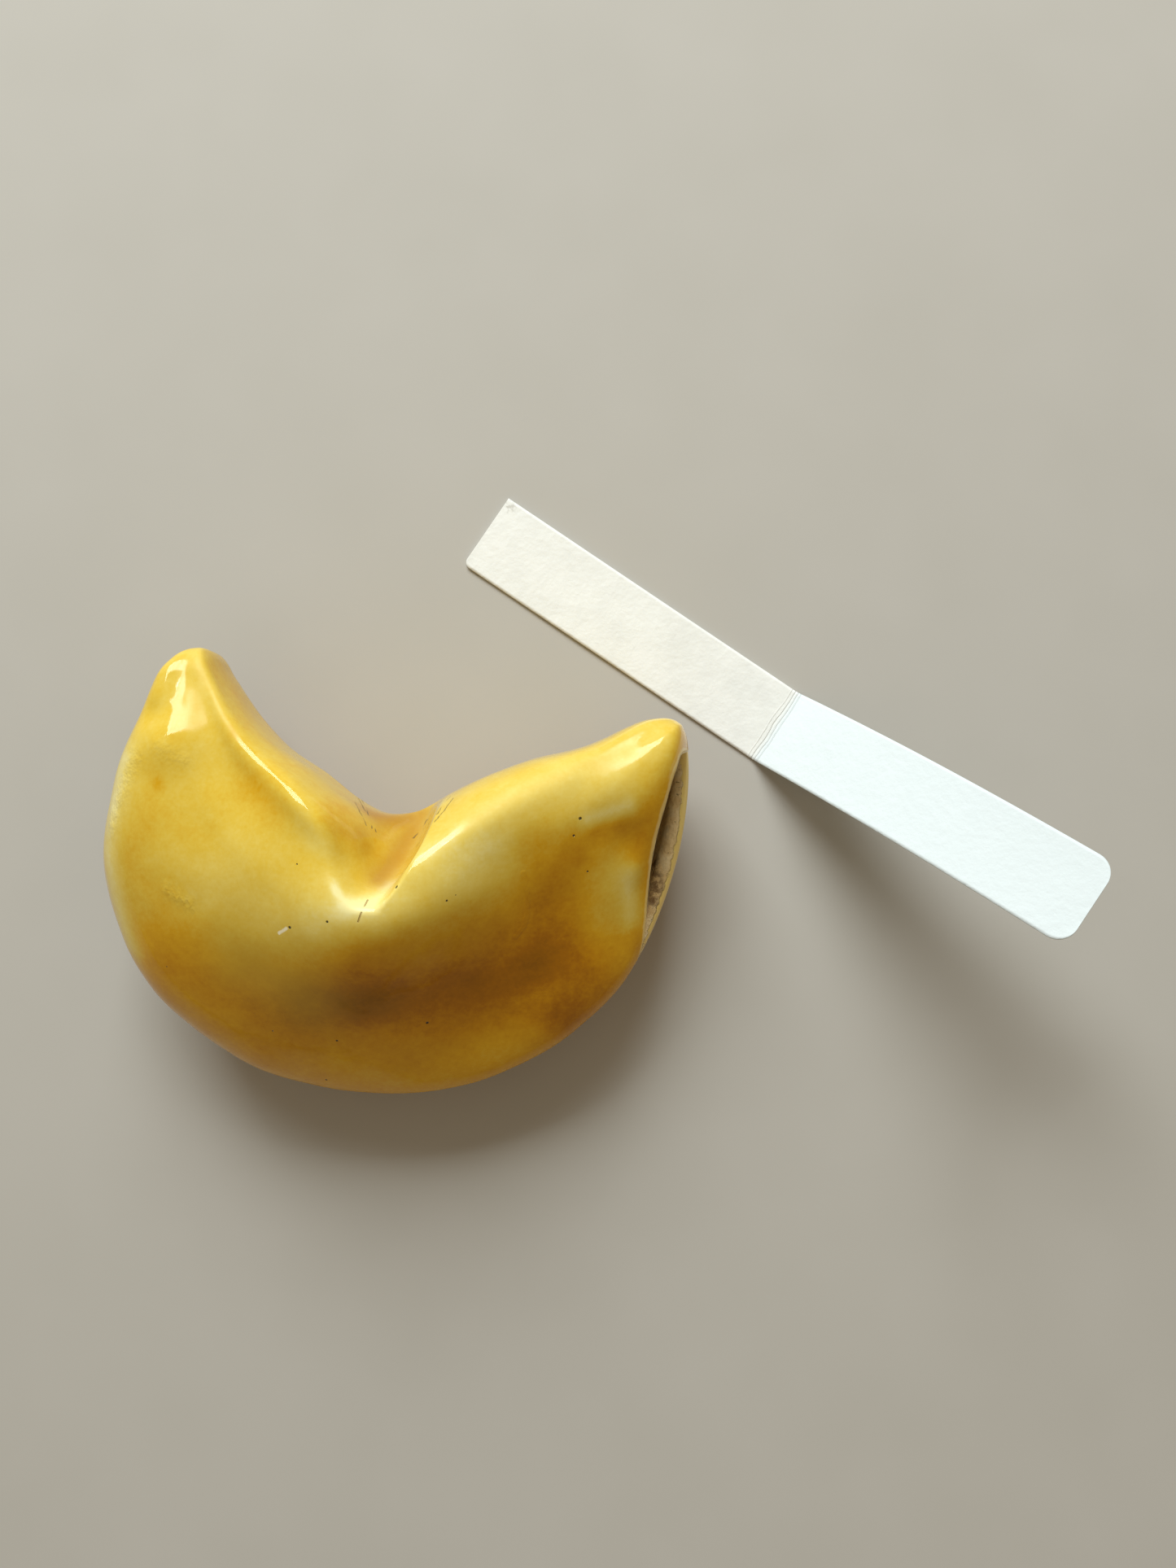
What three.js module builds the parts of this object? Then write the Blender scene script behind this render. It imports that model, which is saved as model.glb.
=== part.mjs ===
import * as THREE from 'three';

// Glazed ceramic fortune cookie with a creased paper slip lying beside it.
// Millimetres, +Z up, the cookie lies on its back face with the notch towards +Y.

// ---------- cookie: outline seen from above ----------
// Both lists run from the left tip to the right tip, tips left out.
const LEFT_TIP = [-26.8, 30.1];
const RIGHT_TIP = [38.9, 18.9];
const RIM_SIDE = [
  [-30.6, 26.6], [-33.7, 20.4], [-38.1, 10.8], [-39.9, -2.2], [-33.8, -17.0],
  [-20.0, -27.8], [-4.2, -31.6], [9.4, -30.4], [19.6, -26.0], [27.9, -19.7],
  [34.2, -10.8], [38.5, 0.5], [40.1, 11.8],
];
const FOLD_SIDE = [
  [-24.4, 28.1], [-21.6, 23.8], [-18.5, 19.6], [-14.6, 15.8], [-10.0, 12.7],
  [-5.7, 9.4], [-1.8, 7.4], [2.4, 7.6], [6.4, 9.6], [11.6, 12.1],
  [18.4, 14.6], [26.2, 16.7], [34.2, 20.0],
];
const OUTLINE = [LEFT_TIP, ...RIM_SIDE, RIGHT_TIP, ...[...FOLD_SIDE].reverse()];
const SPANS = RIM_SIDE.length + 1;

// ---------- cookie: heights, one row per tenth of the way from tip to tip ----------
const FOLD_Z = [17, 16, 15, 14.5, 14.5, 15, 15, 15, 15, 15, 15];
const RIM_Z = [17, 16, 15, 14, 13, 12.5, 12.5, 13, 14, 15, 15];
// Bulge of the front face above the mid surface, from the fold (first) to the rim (last).
const FRONT = [
  [14, 11, 8.5, 7, 6.5, 7],
  [24, 18, 12, 9.2, 9.8, 13],
  [38, 27, 16.5, 13, 12.5, 14.5],
  [50, 34, 19.5, 14.8, 13.5, 12],
  [54, 40, 24, 17.5, 13, 10],
  [46, 35, 24.5, 20.5, 13, 6],
  [30, 26, 23.5, 18.5, 9.5, 5],
  [28, 27, 21.5, 14.5, 8.5, 6],
  [26, 23, 17, 12.5, 8, 4],
  [24, 17, 12, 10.8, 9.6, 7],
  [18, 14, 11, 10, 8, 7],
];
// Bulge of the back face below the mid surface, same order.
const BACK = [
  [7, 7, 7, 7, 6, 6],
  [9, 9, 9, 8.5, 8, 8],
  [11, 11, 11.5, 12, 11, 9],
  [12, 12.5, 14, 15.5, 13.5, 9],
  [12, 12.5, 15, 16.5, 14.5, 9],
  [12, 12.5, 15, 16.5, 14.5, 9],
  [12, 12.5, 15, 16.5, 14.5, 9],
  [12, 12.5, 14, 16, 14.5, 9],
  [11, 11.5, 12.5, 13.5, 13, 9],
  [9, 9, 9, 9, 9, 9],
  [7, 7, 7, 7, 6, 6],
];
const TIP_ROUND = 0.1; // share of the way from tip to tip over which each tip rounds off
const FOOT_BLEND = 0.8; // rounding between the back face and the flat foot at z = 0

// V-shaped dent pressed into the fold. The rings of the mesh follow its edges: they span
// places from..to at its apex and fan out by left and right at the fold.
const NOTCH = { from: 0.49, to: 0.53, left: 0.075, right: 0.115, apex: 0.3 };
const NOTCH_FADE = 1.2; // angle over which the fanning dies away on the back face
// The dent itself. Gentle and steep are the shares of its width that its two slopes take,
// depth is the share of the front bulge that it takes away. The cavity's own dent is wider,
// so that the wall keeps its thickness.
const DENT = { from: 0.478, to: 0.53, left: 0.08, right: 0.115, gentle: 0.8, steep: 0.22, depth: 0.86 };
const DENT_INSIDE = { from: 0.455, to: 0.555, left: 0.09, right: 0.12, gentle: 0.7, steep: 0.3, depth: 0.88 };
const DENT_CURVE = 0.75; // how the dent deepens from its apex to the fold; 1 is straight
const CREST_ROUND = 0.35; // rounding of the crest, share of the steep slope

// ---------- cookie: wall and the two open ends ----------
const WALL = [1.2, 1.9, 2.6, 3, 3, 3, 3, 3, 3, 2.6, 1.2];
const HOLLOW = [0.075, 0.98]; // the cavity runs between these places
const POCKET_END = 0.12; // how far its two ends reach on towards the tips
// Angle, in radians, that each face stops short of the seam along an open end.
const MOUTHS = [
  {
    from: 0.1,
    to: 0.4,
    front: [0, 0.12, 0.2, 0.24, 0.24, 0.2, 0.12, 0],
    back: [0, 0.5, 0.8, 0.95, 0.95, 0.8, 0.45, 0],
  },
  {
    from: 0.765,
    to: 0.972,
    front: [0, 0.52, 0.88, 1.08, 1.18, 1.24, 1.12, 0],
    back: [0, 0.08, 0.12, 0.14, 0.14, 0.14, 0.12, 0],
  },
];
const LIP_BULGE = 0.42; // rounding of the lips, share of the wall
const LIP_POINTS = [0.25, 0.75]; // where its two points stand between the outer and inner edge

// ---------- cookie: mesh ----------
const FACE_STEPS = 18; // steps from fold to rim on each face
const LEFT_TIP_RINGS = [0.008, 0.025, 0.048];
const RIGHT_TIP_RINGS = [0.987, 0.994];
const LEFT_MOUTH_STEPS = 13;
const LEFT_LOBE_STEPS = 6;
const WEB_STEPS = 7; // across the gentle part of the dent
const CREST_FROM = 0.521; // place where its steep slope starts
const CREST_STEPS = 5;
const RIGHT_LOBE_STEPS = 12;
const RIGHT_MOUTH_STEPS = 8;
const CORNER_RINGS = [0.93, 0.948, 0.962]; // the right mouth's corner at the tip
const NORMAL_STEP = 0.004; // step for the direction of the skin
const TINY = 1e-9; // allowance when two places or angles are compared

// ---------- slip ----------
const SLIP_FLAT = 53.1; // length that lies on the table, up to the crease
const SLIP_LENGTH = 106;
const SLIP_WIDTH = 12.2;
const SLIP_THICK = 0.35;
const SLIP_STEEP = 46 * Math.PI / 180; // slope just past the crease
const SLIP_SHALLOW = 28 * Math.PI / 180; // slope at the raised end
const SLIP_CORNER = 2.6; // radius of the two corners there
const SLIP_TURN = -34.1 * Math.PI / 180;
const SLIP_BEND = -2.3 * Math.PI / 180; // further turn past the crease
const SLIP_FROM = [10.6, 50.2]; // middle of the end that lies flat, in cookie millimetres
const CREASE_HALF = 1.2; // half length of the bent zone at the crease
const FLAT_STEPS = 8;
const RAISED_STEPS = 14;
const CREASE_STEPS = 6;
const CORNER_STEPS = [0, 0.3, 0.55, 0.75, 0.9, 0.98];
const SLOPE_STEP = 0.01; // step for the direction of the strip

// ---------- colours ----------
const GLAZE = { color: 0xd9a83a, roughness: 0.15 };
const PAPER = { color: 0xf2f1ea, roughness: 0.9 };

// ---------- small maths ----------
function catmull(a, b, c, d, f) {
  const f2 = f * f;
  const f3 = f2 * f;
  return 0.5 * (2 * b + (c - a) * f + (2 * a - 5 * b + 4 * c - d) * f2 + (3 * b - a - 3 * c + d) * f3);
}

function smooth(x) {
  const c = Math.min(1, Math.max(0, x));
  return c * c * (3 - 2 * c);
}

// 0 below, x above, rounded over the given half width.
function rounded(x, half) {
  if (x >= half) return x;
  return x <= -half ? 0 : (x + half) ** 2 / (4 * half);
}

// Steep at 0, level at 1.
function drop(x) {
  const c = Math.min(1, rounded(x, CREST_ROUND));
  return 1 - (1 - c) ** 3;
}

function onOutline(x) {
  const n = OUTLINE.length;
  const i = Math.floor(x);
  const at = (k) => OUTLINE[(i + k + n) % n];
  return [0, 1].map((c) => catmull(at(-1)[c], at(0)[c], at(1)[c], at(2)[c], x - i));
}

// Value of an evenly spaced list at x in 0..1; the ends run on straight.
function along(list, x) {
  const n = list.length - 1;
  const y = Math.min(1, Math.max(0, x)) * n;
  const i = Math.min(Math.floor(y), n - 1);
  const before = i > 0 ? list[i - 1] : 2 * list[0] - list[1];
  const after = i < n - 1 ? list[i + 2] : 2 * list[n] - list[n - 1];
  return catmull(before, list[i], list[i + 1], after, y - i);
}

// The columns stand closer together near the fold.
function bulge(table, w, t) {
  const row = table[0].map((_, k) => along(table.map((r) => r[k]), w));
  return along(row, Math.sqrt(t));
}

// ---------- outer skin ----------
// 1 along the fold, 0 from the apex of the dent on.
function notchOpen(angle) {
  if (angle < 0) return smooth(1 + angle / NOTCH_FADE);
  return Math.max(0, 1 - (1 - Math.cos(angle)) / 2 / NOTCH.apex);
}

// Places near the dent fan out towards the fold, so the rings follow its edges.
function fanned(r, open) {
  const left = NOTCH.from - NOTCH.left * open;
  const right = NOTCH.to + NOTCH.right * open;
  if (r < NOTCH.from) return r / NOTCH.from * left;
  if (r > NOTCH.to) return 1 - (1 - r) / (1 - NOTCH.to) * (1 - right);
  return left + (r - NOTCH.from) / (NOTCH.to - NOTCH.from) * (right - left);
}

// 1 outside the dent, less inside it.
function dentFactor(w, open, dent) {
  const left = dent.from - dent.left * open;
  const right = dent.to + dent.right * open;
  const across = (w - left) / (right - left);
  const inLeft = smooth(across / dent.gentle);
  const inRight = drop((1 - across) / dent.steep);
  return 1 - dent.depth * inLeft * inRight * open ** DENT_CURVE;
}

// 0 at either tip, 1 away from them.
function tipFactor(w) {
  const into = Math.min(1, Math.max(0, Math.min(w, 1 - w)) / TIP_ROUND);
  return Math.sqrt(1 - (1 - into) ** 2);
}

// Point of the skin: r from tip to tip, angle 0 at the fold, +PI and -PI at the seam.
function skin(r, angle, dent = DENT) {
  const t = (1 - Math.cos(angle)) / 2;
  const open = notchOpen(angle);
  const w = fanned(r, open);
  const rim = onOutline(w * SPANS);
  const fold = onOutline(2 * SPANS - w * SPANS);
  const x = fold[0] + (rim[0] - fold[0]) * t;
  const y = fold[1] + (rim[1] - fold[1]) * t;
  const mid = along(FOLD_Z, w) * (1 - t) + along(RIM_Z, w) * t;
  const lift = Math.sin(Math.abs(angle)) * tipFactor(w);
  if (angle < 0) return new THREE.Vector3(x, y, rounded(mid - lift * bulge(BACK, w, t), FOOT_BLEND));
  return new THREE.Vector3(x, y, mid + lift * bulge(FRONT, w, t) * dentFactor(w, open, dent));
}

function wrap(angle) {
  if (angle > Math.PI) return angle - 2 * Math.PI;
  if (angle < -Math.PI) return angle + 2 * Math.PI;
  return angle;
}

function outward(r, angle, dent) {
  const h = NORMAL_STEP;
  const dr = skin(r + h, angle, dent).sub(skin(r - h, angle, dent));
  const da = skin(r, wrap(angle + h), dent).sub(skin(r, wrap(angle - h), dent));
  return da.cross(dr).normalize();
}

// ---------- rings ----------
function mouthAt(w) {
  return MOUTHS.find((m) => w >= m.from - TINY && w <= m.to + TINY);
}

// How far the front and back faces reach, as angles.
function reach(w) {
  const mouth = mouthAt(w);
  if (!mouth) return [Math.PI, Math.PI];
  const q = (w - mouth.from) / (mouth.to - mouth.from);
  const cut = (list) => Math.max(0, along(list, q));
  return [Math.PI - cut(mouth.front), Math.PI - cut(mouth.back)];
}

function ringAngles(w) {
  const [front, back] = reach(w);
  const angles = [];
  for (let k = 0; k < FACE_STEPS; k += 1) angles.push(front * (1 - k / FACE_STEPS));
  for (let k = 0; k <= FACE_STEPS; k += 1) angles.push(-back * k / FACE_STEPS);
  return angles;
}

function spread(from, to, count) {
  return Array.from({ length: count }, (_, k) => from + (to - from) * k / count);
}

function ringPlaces() {
  const [start, end] = HOLLOW;
  const [left, right] = MOUTHS;
  return [
    ...LEFT_TIP_RINGS,
    start,
    ...spread(left.from, left.to, LEFT_MOUTH_STEPS),
    ...spread(left.to, NOTCH.from, LEFT_LOBE_STEPS),
    ...spread(NOTCH.from, CREST_FROM, WEB_STEPS),
    ...spread(CREST_FROM, NOTCH.to, CREST_STEPS),
    ...spread(NOTCH.to, right.from, RIGHT_LOBE_STEPS),
    ...spread(right.from, CORNER_RINGS[0], RIGHT_MOUTH_STEPS),
    ...CORNER_RINGS,
    right.to,
    end,
    ...RIGHT_TIP_RINGS,
  ];
}

// ---------- shell ----------
class Shell {
  constructor() {
    this.points = [];
    this.faces = [];
  }

  add(point) {
    this.points.push(point);
    return this.points.length - 1;
  }

  triangle(a, b, c) {
    if (a !== b && b !== c && c !== a) this.faces.push(a, b, c);
  }

  quad(a, b, c, d) {
    const p = this.points;
    if (p[a].distanceTo(p[c]) < p[b].distanceTo(p[d])) {
      this.triangle(a, b, c);
      this.triangle(a, c, d);
    } else {
      this.triangle(a, b, d);
      this.triangle(b, c, d);
    }
  }

  strip(first, second) {
    for (let k = 0; k + 1 < first.length; k += 1) {
      this.quad(second[k], second[k + 1], first[k + 1], first[k]);
    }
  }

  geometry() {
    const geometry = new THREE.BufferGeometry();
    const values = this.points.flatMap((p) => p.toArray());
    geometry.setAttribute('position', new THREE.Float32BufferAttribute(values, 3));
    geometry.setIndex(this.faces);
    geometry.computeVertexNormals();
    return geometry;
  }
}

function addLoop(shell, points, closed) {
  const ids = points.slice(0, -1).map((p) => shell.add(p));
  ids.push(closed ? ids[0] : shell.add(points[points.length - 1]));
  return ids;
}

// Two points that round the lip between the outer edge a and the inner edge b.
function addLip(shell, a, b, away, amount) {
  return LIP_POINTS.map((f) => shell.add(a.clone().lerp(b, f).addScaledVector(away, amount)));
}

function insidePoint(w, angle, wall) {
  return skin(w, angle, DENT_INSIDE).addScaledVector(outward(w, angle, DENT_INSIDE), -wall);
}

function makeRing(shell, w) {
  const angles = ringAngles(w);
  const closed = angles[0] > Math.PI - TINY;
  const outer = angles.map((a) => skin(w, a));
  const ring = { w, closed, outer: addLoop(shell, outer, closed) };
  if (w < HOLLOW[0] - TINY || w > HOLLOW[1] + TINY) return ring;
  const wall = along(WALL, w);
  const inner = angles.map((a) => insidePoint(w, a, wall));
  ring.inner = addLoop(shell, inner, closed);
  if (!mouthAt(w)) return ring;
  const last = outer.length - 1;
  const amount = closed ? 0 : LIP_BULGE * wall;
  const away = (k, from) => outer[k].clone().sub(outer[from]).normalize();
  ring.front = addLip(shell, outer[0], inner[0], away(0, 1), amount);
  ring.back = closed ? ring.front : addLip(shell, outer[last], inner[last], away(last, last - 1), amount);
  return ring;
}

function frontLip(ring) {
  return [ring.inner[0], ring.front[1], ring.front[0], ring.outer[0]];
}

function backLip(ring) {
  const last = ring.outer.length - 1;
  return [ring.outer[last], ring.back[0], ring.back[1], ring.inner[last]];
}

function joinRings(shell, a, b) {
  shell.strip(a.outer, b.outer);
  if (!a.inner || !b.inner) return;
  shell.strip(b.inner, a.inner);
  if (!a.front || !b.front || mouthAt(a.w) !== mouthAt(b.w)) return;
  shell.strip(frontLip(a), frontLip(b));
  shell.strip(backLip(a), backLip(b));
}

// Closes a loop onto one point.
function cap(shell, loop, point, reversed) {
  const tip = shell.add(point);
  for (let k = 0; k + 1 < loop.length; k += 1) {
    if (reversed) shell.triangle(loop[k], loop[k + 1], tip);
    else shell.triangle(loop[k + 1], loop[k], tip);
  }
}

function innerEnd(shell, ring, towards) {
  const centre = new THREE.Vector3();
  const loop = ring.inner.slice(0, -1);
  loop.forEach((id) => centre.add(shell.points[id]));
  centre.divideScalar(loop.length);
  return centre.lerp(skin(towards, 0), POCKET_END);
}

function cookieGeometry() {
  const shell = new Shell();
  const rings = ringPlaces().map((w) => makeRing(shell, w));
  for (let i = 0; i + 1 < rings.length; i += 1) joinRings(shell, rings[i], rings[i + 1]);
  const hollow = rings.filter((ring) => ring.inner);
  const first = hollow[0];
  const last = hollow[hollow.length - 1];
  cap(shell, rings[0].outer, skin(0, 0), true);
  cap(shell, rings[rings.length - 1].outer, skin(1, 0), false);
  cap(shell, first.inner, innerEnd(shell, first, 0), false);
  cap(shell, last.inner, innerEnd(shell, last, 1), true);
  return shell.geometry();
}

// ---------- slip ----------
// Forward place and height of the strip's underside at arc length s, with a sharp crease.
function creased(s) {
  if (s <= SLIP_FLAT) return [s, 0];
  const bend = (SLIP_SHALLOW - SLIP_STEEP) / (SLIP_LENGTH - SLIP_FLAT);
  const slope = SLIP_STEEP + bend * (s - SLIP_FLAT);
  return [
    SLIP_FLAT + (Math.sin(slope) - Math.sin(SLIP_STEEP)) / bend,
    (Math.cos(SLIP_STEEP) - Math.cos(slope)) / bend,
  ];
}

// The same with the crease rounded.
function slipProfile(s) {
  const f = (s - SLIP_FLAT + CREASE_HALF) / (2 * CREASE_HALF);
  if (f <= 0 || f >= 1) return creased(s);
  const [from, fold, to] = [-CREASE_HALF, 0, CREASE_HALF].map((gap) => creased(SLIP_FLAT + gap));
  return [0, 1].map((k) => (1 - f) ** 2 * from[k] + 2 * f * (1 - f) * fold[k] + f ** 2 * to[k]);
}

function slipHalfWidth(s) {
  const into = s - (SLIP_LENGTH - SLIP_CORNER);
  if (into <= 0) return SLIP_WIDTH / 2;
  return SLIP_WIDTH / 2 - SLIP_CORNER + Math.sqrt(Math.max(0, SLIP_CORNER ** 2 - into ** 2));
}

function slipPlaces() {
  const start = SLIP_FLAT - CREASE_HALF;
  const end = SLIP_FLAT + CREASE_HALF;
  const corner = SLIP_LENGTH - SLIP_CORNER;
  return [
    ...spread(0, start, FLAT_STEPS),
    ...spread(start, end, CREASE_STEPS),
    ...spread(end, corner, RAISED_STEPS),
    ...CORNER_STEPS.map((f) => corner + SLIP_CORNER * f),
    SLIP_LENGTH,
  ];
}

function slipPoint(s, side, up) {
  const [forward, z] = slipProfile(s);
  const [next, zNext] = slipProfile(Math.min(s + SLOPE_STEP, SLIP_LENGTH));
  const [prev, zPrev] = slipProfile(Math.max(s - SLOPE_STEP, 0));
  const slope = Math.atan2(zNext - zPrev, next - prev);
  const ahead = forward - up * Math.sin(slope);
  const flat = Math.min(ahead, SLIP_FLAT);
  const raised = ahead - flat;
  const across = side * slipHalfWidth(s);
  const turned = SLIP_TURN + SLIP_BEND;
  return new THREE.Vector3(
    SLIP_FROM[0] + flat * Math.cos(SLIP_TURN) + raised * Math.cos(turned) - across * Math.sin(SLIP_TURN),
    SLIP_FROM[1] + flat * Math.sin(SLIP_TURN) + raised * Math.sin(turned) + across * Math.cos(SLIP_TURN),
    z + up * Math.cos(slope),
  );
}

function slipGeometry() {
  const shell = new Shell();
  const rows = slipPlaces().map((s) => {
    const corners = [[-1, SLIP_THICK], [1, SLIP_THICK], [1, 0], [-1, 0]];
    const ids = corners.map(([side, up]) => shell.add(slipPoint(s, side, up)));
    return [...ids, ids[0]];
  });
  for (let i = 0; i + 1 < rows.length; i += 1) shell.strip(rows[i], rows[i + 1]);
  const [a, b, c, d] = rows[0];
  const [e, f, g, h] = rows[rows.length - 1];
  shell.quad(a, b, c, d);
  shell.quad(h, g, f, e);
  return shell.geometry();
}

// ---------- assembly ----------
function node(name, geometry, look) {
  const mesh = new THREE.Mesh(geometry, new THREE.MeshStandardMaterial({ ...look, metalness: 0 }));
  mesh.name = name;
  return mesh;
}

// Puts the middle of the whole footprint on the origin.
function centred(meshes) {
  const box = new THREE.Box3();
  meshes.forEach((mesh) => {
    const { position } = mesh.geometry.attributes;
    box.union(new THREE.Box3().setFromBufferAttribute(position));
  });
  const middle = box.getCenter(new THREE.Vector3());
  meshes.forEach((mesh) => mesh.geometry.translate(-middle.x, -middle.y, -box.min.z));
  return meshes;
}

const group = new THREE.Group();
group.name = 'fortune_cookie';
group.add(...centred([
  node('cookie', cookieGeometry(), GLAZE),
  node('slip', slipGeometry(), PAPER),
]));

export default group;
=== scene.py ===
"""Looks of the glazed ceramic fortune cookie and its paper slip.

Shapes are worked out in millimetres, in the cookie's own axes, and moved into the frame at the end.
Places on the cookie are given as the image's pixels that show them, and found there by a ray.
"""
import math

import bpy
import numpy as np
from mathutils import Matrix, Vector, noise
from mathutils.bvhtree import BVHTree
from mathutils.kdtree import KDTree


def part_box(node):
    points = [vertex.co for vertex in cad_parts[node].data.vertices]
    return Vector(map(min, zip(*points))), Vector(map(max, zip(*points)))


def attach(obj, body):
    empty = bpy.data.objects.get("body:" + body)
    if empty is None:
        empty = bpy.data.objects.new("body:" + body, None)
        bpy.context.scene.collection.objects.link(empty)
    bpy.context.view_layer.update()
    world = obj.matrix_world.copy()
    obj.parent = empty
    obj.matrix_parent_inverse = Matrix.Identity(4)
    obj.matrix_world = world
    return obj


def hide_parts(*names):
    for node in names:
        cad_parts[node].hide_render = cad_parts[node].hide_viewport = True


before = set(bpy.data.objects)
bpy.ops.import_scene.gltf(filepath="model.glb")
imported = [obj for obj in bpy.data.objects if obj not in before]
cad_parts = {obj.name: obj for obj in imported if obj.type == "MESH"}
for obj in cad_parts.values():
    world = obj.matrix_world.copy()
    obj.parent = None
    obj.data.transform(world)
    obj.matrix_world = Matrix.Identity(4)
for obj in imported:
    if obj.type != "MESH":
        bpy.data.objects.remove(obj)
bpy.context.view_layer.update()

MM = 0.001
TINY = 1e-9

# ---------------------------------------------------------------- camera
IMAGE_WIDTH, IMAGE_HEIGHT = 1445, 1927
FOCAL_PIXELS = 1448
SENSOR = 36.0  # millimetres, along the image's longer side
CAMERA_NEAR = 0.01
CAMERA_DISTANCE = 0.178
CAMERA_TILT = math.radians(2.0)
CAMERA_TARGET = Vector((0.00050, 0.00006, 0.0))
BACKWARD = Vector((0, -math.sin(CAMERA_TILT), math.cos(CAMERA_TILT)))
CAMERA_PLACE = CAMERA_TARGET + CAMERA_DISTANCE * BACKWARD


def make_camera():
    data = bpy.data.cameras.new("camera")
    data.sensor_width = SENSOR
    data.lens = SENSOR * FOCAL_PIXELS / IMAGE_HEIGHT
    data.clip_start = CAMERA_NEAR
    camera = bpy.data.objects.new("camera", data)
    camera.location = CAMERA_PLACE
    camera.rotation_euler = (CAMERA_TILT, 0, 0)
    bpy.context.scene.collection.objects.link(camera)
    bpy.context.scene.camera = camera


def pixel_ray(px, py):
    """Direction from the camera through a pixel of the image."""
    right = (px - IMAGE_WIDTH / 2) / FOCAL_PIXELS
    up = (IMAGE_HEIGHT / 2 - py) / FOCAL_PIXELS
    above = Vector((0, math.cos(CAMERA_TILT), math.sin(CAMERA_TILT)))
    return (-BACKWARD + Vector((right, 0, 0)) + above * up).normalized()


# ---------------------------------------------------------------- cookie: the CAD's own shape
# Outline seen from above, along the rim and along the fold, both from the left tip to the right.
LEFT_TIP = (-26.8, 30.1)
RIGHT_TIP = (38.9, 18.9)
RIM_SIDE = [
    (-30.6, 26.6), (-33.7, 20.4), (-38.1, 10.8), (-39.9, -2.2), (-33.8, -17.0),
    (-20.0, -27.8), (-4.2, -31.6), (9.4, -30.4), (19.6, -26.0), (27.9, -19.7),
    (34.2, -10.8), (38.5, 0.5), (40.1, 11.8),
]
FOLD_SIDE = [
    (-24.4, 28.1), (-21.6, 23.8), (-18.5, 19.6), (-14.6, 15.8), (-10.0, 12.7),
    (-5.7, 9.4), (-1.8, 7.4), (2.4, 7.6), (6.4, 9.6), (11.6, 12.1),
    (18.4, 14.6), (26.2, 16.7), (34.2, 20.0),
]
OUTLINE = np.array([LEFT_TIP, *RIM_SIDE, RIGHT_TIP, *reversed(FOLD_SIDE)])
SPANS = len(RIM_SIDE) + 1
# Height of the fold and of the rim, from tip to tip.
FOLD_Z = [17, 16, 15, 14.5, 14.5, 15, 15, 15, 15, 15, 15]
RIM_Z = [17, 16, 15, 14, 13, 12.5, 12.5, 13, 14, 15, 15]
# How far the front and back faces bulge: rows from tip to tip, each from the fold to the rim.
FRONT = [
    [14, 11, 8.5, 7, 6.5, 7],
    [24, 18, 12, 9.2, 9.8, 13],
    [38, 27, 16.5, 13, 12.5, 14.5],
    [50, 34, 19.5, 14.8, 13.5, 12],
    [54, 40, 24, 17.5, 13, 10],
    [46, 35, 24.5, 20.5, 13, 6],
    [30, 26, 23.5, 18.5, 9.5, 5],
    [28, 27, 21.5, 14.5, 8.5, 6],
    [26, 23, 17, 12.5, 8, 4],
    [24, 17, 12, 10.8, 9.6, 7],
    [18, 14, 11, 10, 8, 7],
]
BACK = [
    [7, 7, 7, 7, 6, 6],
    [9, 9, 9, 8.5, 8, 8],
    [11, 11, 11.5, 12, 11, 9],
    [12, 12.5, 14, 15.5, 13.5, 9],
    [12, 12.5, 15, 16.5, 14.5, 9],
    [12, 12.5, 15, 16.5, 14.5, 9],
    [12, 12.5, 15, 16.5, 14.5, 9],
    [12, 12.5, 14, 16, 14.5, 9],
    [11, 11.5, 12.5, 13.5, 13, 9],
    [9, 9, 9, 9, 9, 9],
    [7, 7, 7, 7, 6, 6],
]
TIP_ROUND = 0.1
FOOT_BLEND = 0.8
# The notch in the fold: its places, how far it spreads them, how far it goes across the front
# face, and the radians over which it fades on the back one.
NOTCH_FROM, NOTCH_TO = 0.49, 0.53
NOTCH_LEFT, NOTCH_RIGHT, NOTCH_APEX = 0.075, 0.115, 0.3
NOTCH_FADE = 1.2
# The dent beside it, outside and on the hollow's skin: from, to, left, right, gentle share,
# steep share, depth.
DENT = (0.478, 0.53, 0.08, 0.115, 0.8, 0.22, 0.86)
DENT_INSIDE = (0.455, 0.555, 0.09, 0.12, 0.7, 0.3, 0.88)
DENT_CURVE = 0.75
CREST_ROUND = 0.35
# Wall thickness from tip to tip, and the places between which the cookie is hollow.
WALL = [1.2, 1.9, 2.6, 3, 3, 3, 3, 3, 3, 2.6, 1.2]
HOLLOW = (0.075, 0.98)
# Open ends: from, to, and how many radians short of the rim the front and back faces stop.
MOUTHS = [
    (0.1, 0.4, [0, 0.12, 0.2, 0.24, 0.24, 0.2, 0.12, 0], [0, 0.5, 0.8, 0.95, 0.95, 0.8, 0.45, 0]),
    (0.765, 0.972, [0, 0.52, 0.88, 1.08, 1.18, 1.24, 1.12, 0],
     [0, 0.08, 0.12, 0.14, 0.14, 0.14, 0.12, 0]),
]
LIP_BULGE = 0.42

# Places of rings from tip to tip, and how many rings there are from each one to the next.
RING_STOPS = [
    (0.0006, 10), (0.03, 12), (HOLLOW[0], 6), (MOUTHS[0][0], 52), (MOUTHS[0][1], 14),
    (0.45, 12), (NOTCH_FROM, 34), (0.521, 16), (NOTCH_TO, 24), (0.58, 34), (MOUTHS[1][0], 36),
    (0.93, 16), (MOUTHS[1][1], 4), (HOLLOW[1], 14), (0.9994, 0),
]
FACE_STEPS = 80
LIP_STEPS = 8
SLOPE_STEP = 0.004
CLOSED_WITHIN = 1e-6
HOLLOW_POINT = 0.12  # share of the way to the tips that the hollow's ends are drawn out


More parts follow.
